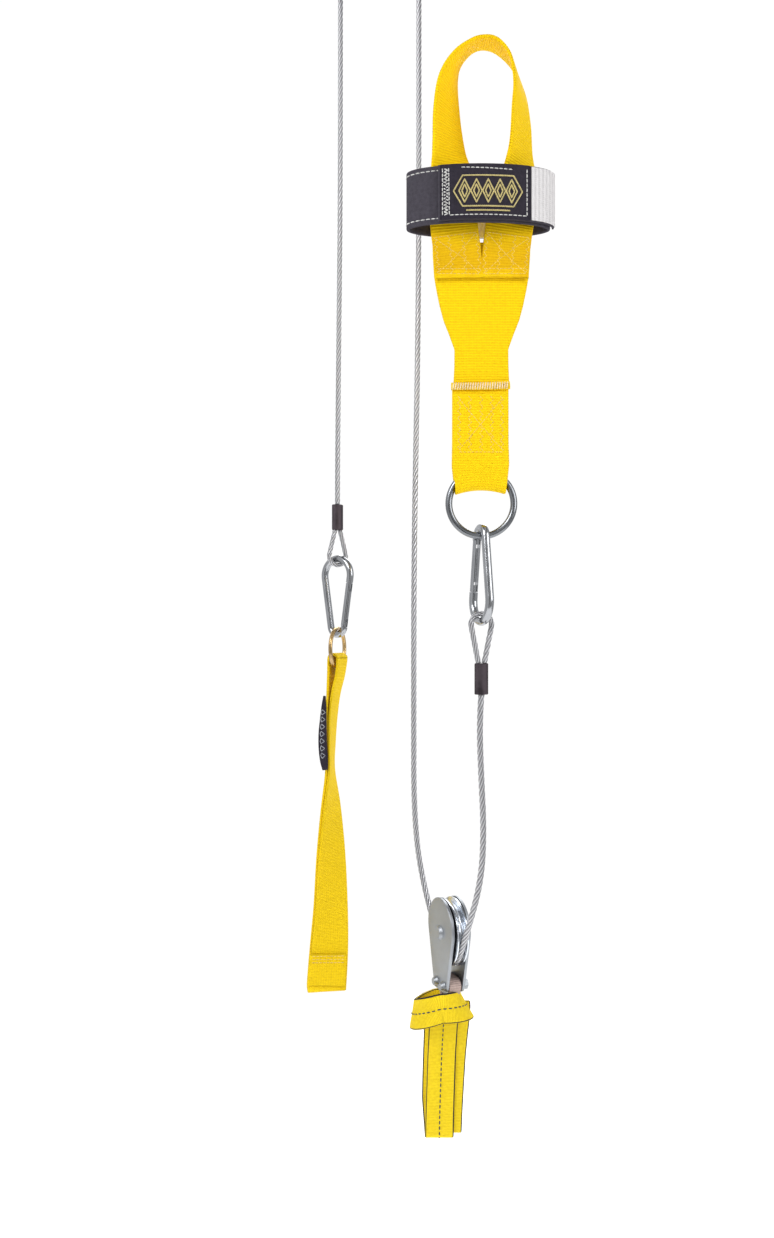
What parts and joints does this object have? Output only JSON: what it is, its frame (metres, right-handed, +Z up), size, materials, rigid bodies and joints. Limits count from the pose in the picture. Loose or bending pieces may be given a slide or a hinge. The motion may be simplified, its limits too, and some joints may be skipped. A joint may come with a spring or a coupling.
{
  "type": "cable pulley hoist kit",
  "caption": "Wire-rope pulley hoist kit with an upper and a low block, snap hooks, a load strap, a beam anchor strap and a cuffed hand loop.",
  "frame": {"origin": "inside crown of the upper hang strap, where the kit hangs on its bar", "axes": "+Z up along the hanging rope, +X to the right seen from the handle side, +Y away from it"},
  "size_m": [0.2139, 0.2332, 1.2723],
  "materials": {
    "yellow_webbing": "ribbed woven polyester webbing",
    "black_cuff": "black woven tape with pale lock stitching",
    "woven_label": "plain black woven label with a border",
    "loop_fastener": "pale grey napped loop tape",
    "hook_fastener": "black hook tape",
    "wire_rope": "galvanised stranded rope",
    "black_ferrule": "dark pressed sleeve",
    "zinc_plate": "zinc-plated pressed steel",
    "bright_zinc": "bright zinc-plated wire",
    "plated_steel": "nickel-plated welded ring",
    "yellow_zinc": "yellow-passivated welded ring",
    "bronze": "plain bronze bush"
  },
  "bodies": {
    "rigging": {"hang_strap": "yellow_webbing", "upper_cheek_near": "zinc_plate", "upper_cheek_far": "zinc_plate", "upper_axle": "zinc_plate", "upper_washers": "zinc_plate", "upper_spacers": "zinc_plate", "upper_bolts": "zinc_plate", "upper_nuts": "zinc_plate", "low_cheek_near": "zinc_plate", "low_cheek_far": "zinc_plate", "low_axle": "zinc_plate", "low_washers": "zinc_plate", "low_spacers": "zinc_plate", "low_bolts": "zinc_plate", "low_nuts": "zinc_plate", "rope_upper_bend": "wire_rope", "rope_middle_fall": "wire_rope", "rope_low_bend": "wire_rope", "anchor_strap_eye": "yellow_webbing", "anchor_strap_choke": "yellow_webbing", "anchor_strap_outer_ply": "yellow_webbing", "anchor_strap_inner_ply": "yellow_webbing"},
    "upper_sheave": {"upper_sheave": "zinc_plate", "upper_bush": "bronze"},
    "low_sheave": {"low_sheave": "zinc_plate", "low_bush": "bronze"},
    "load_rope": {"load_rope_fall": "wire_rope", "load_rope_ferrule": "black_ferrule", "load_rope_eye": "wire_rope"},
    "load_hook": {"load_hook_body": "bright_zinc", "load_gate_pin": "bright_zinc"},
    "load_gate": {"load_hook_gate": "bright_zinc", "load_gate_spring": "bright_zinc"},
    "load_ring": {"load_ring": "yellow_zinc"},
    "load_strap": {"load_strap": "yellow_webbing", "load_strap_label": "woven_label"},
    "handle_rope": {"handle_rope_fall": "wire_rope", "handle_rope_ferrule": "black_ferrule", "handle_rope_eye": "wire_rope"},
    "handle_hook": {"handle_hook_body": "bright_zinc", "handle_gate_pin": "bright_zinc"},
    "handle_gate": {"handle_hook_gate": "bright_zinc", "handle_gate_spring": "bright_zinc"},
    "handle_ring": {"handle_ring": "plated_steel"},
    "handle_strap": {"handle_tab": "yellow_webbing", "handle_body_web": "yellow_webbing", "hand_loop": "yellow_webbing", "cuff_band": "black_cuff", "cuff_hook_patch": "hook_fastener"},
    "cuff_flap": {"cuff_flap": "black_cuff", "cuff_label": "woven_label", "cuff_loop_strip": "loop_fastener"}
  },
  "joints": [
    {"name": "load_lift", "type": "slide", "parent": "rigging", "child": "load_rope", "axis": [0, 0, 1], "range_m": [0, 0.4], "deforming": ["load_rope_fall"]},
    {"name": "handle_pull", "type": "slide", "parent": "rigging", "child": "handle_rope", "axis": [0, 0, 1], "range_m": [0, 0.4], "deforming": ["handle_rope_fall"]},
    {"name": "upper_sheave_spin", "type": "hinge", "parent": "rigging", "child": "upper_sheave", "pos_m": [0, 0, -0.16], "axis": [-0.549, -0.8358, 0], "continuous": true},
    {"name": "low_sheave_spin", "type": "hinge", "parent": "rigging", "child": "low_sheave", "pos_m": [0.061, -0.112, -1.086], "axis": [-0.9336, -0.3584, 0], "continuous": true},
    {"name": "load_hook_swing", "type": "hinge", "parent": "load_rope", "child": "load_hook", "pos_m": [-0.041, 0.025, -0.7637], "axis": [0.9272, 0.3746, 0], "range_deg": [-20, 20]},
    {"name": "load_gate_open", "type": "hinge", "parent": "load_hook", "child": "load_gate", "pos_m": [-0.0342, 0.01969, -0.82385], "axis": [-0.6157, -0.788, 0], "range_deg": [0, 22], "stiffness_Nm_per_rad": 0.02, "springref_deg": -17.19},
    {"name": "load_ring_swing", "type": "hinge", "parent": "load_hook", "child": "load_ring", "pos_m": [-0.041, 0.025, -0.83245], "axis": [0.788, -0.6157, 0], "range_deg": [-20, 20]},
    {"name": "load_strap_swing", "type": "hinge", "parent": "load_ring", "child": "load_strap", "pos_m": [-0.041, 0.025, -0.8656], "axis": [0.309, 0.9511, 0], "range_deg": [-8, 8]},
    {"name": "handle_hook_swing", "type": "hinge", "parent": "handle_rope", "child": "handle_hook", "pos_m": [0.0835, -0.165, -0.8163], "axis": [0.9659, 0.2588, 0], "range_deg": [-15, 15]},
    {"name": "handle_gate_open", "type": "hinge", "parent": "handle_hook", "child": "handle_gate", "pos_m": [0.08083, -0.15679, -0.75615], "axis": [-0.9511, -0.309, 0], "range_deg": [0, 22], "stiffness_Nm_per_rad": 0.02, "springref_deg": -17.19},
    {"name": "handle_ring_swing", "type": "hinge", "parent": "handle_hook", "child": "handle_ring", "pos_m": [0.0835, -0.165, -0.74755], "axis": [0.309, -0.9511, 0], "range_deg": [-15, 15]},
    {"name": "handle_strap_swing", "type": "hinge", "parent": "handle_ring", "child": "handle_strap", "pos_m": [0.0835, -0.165, -0.712], "axis": [1, 0, 0], "range_deg": [-6, 6]},
    {"name": "cuff_open", "type": "hinge", "parent": "handle_strap", "child": "cuff_flap", "pos_m": [0.1427, -0.165, -0.487], "axis": [0, 0, 1], "range_deg": [0, 100]}
  ],
  "couplings": [
    {"joint": "handle_pull", "follows": "load_lift", "ratio": 1},
    {"joint": "upper_sheave_spin", "follows": "load_lift", "rad_per_m": -21.978},
    {"joint": "low_sheave_spin", "follows": "load_lift", "rad_per_m": 39.216}
  ]
}
